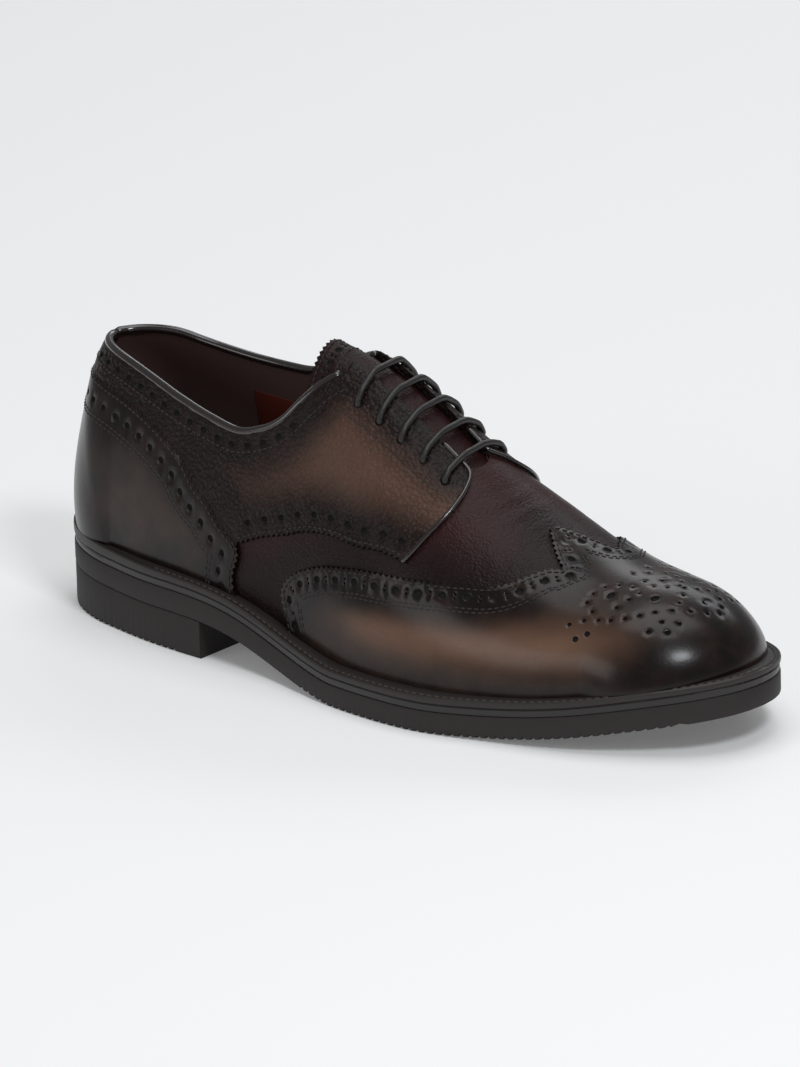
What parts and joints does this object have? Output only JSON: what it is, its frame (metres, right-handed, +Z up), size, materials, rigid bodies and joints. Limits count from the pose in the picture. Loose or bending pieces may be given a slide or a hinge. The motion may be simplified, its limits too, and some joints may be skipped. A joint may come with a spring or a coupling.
{
  "type": "leather derby shoe",
  "caption": "Right-foot leather lace-up derby with a winged, perforated toe cap, pinked overlays, a stitched welt and a rubber sole with a block heel.",
  "frame": {"origin": "middle of the heel's flat tread face, on the floor", "axes": "+X from the heel to the toe, +Y to the inner (medial) side of the right foot, +Z up"},
  "size_m": [0.308, 0.1086, 0.1152],
  "materials": {
    "grain_leather": "satin, fine pebble grain, hand burnished",
    "smooth_leather": "polished, burnished darker at toe and heel",
    "lining_leather": "matt",
    "edge_leather": "dyed and waxed edge",
    "sole_rubber": "matt",
    "lace_cord": "waxed cotton"
  },
  "bodies": {
    "root": {"outsole": "sole_rubber", "midsole": "edge_leather", "welt": "edge_leather", "heel": "sole_rubber", "insole": "lining_leather", "upper": "grain_leather", "quarter_lateral": "grain_leather", "quarter_medial": "grain_leather", "counter": "smooth_leather", "wing_cap": "smooth_leather", "tongue": "grain_leather", "collar_binding": "smooth_leather", "lace_bar_1": "lace_cord", "lace_bar_2": "lace_cord", "lace_bar_3": "lace_cord", "lace_bar_4": "lace_cord", "lace_bar_5": "lace_cord"}
  },
  "joints": []
}
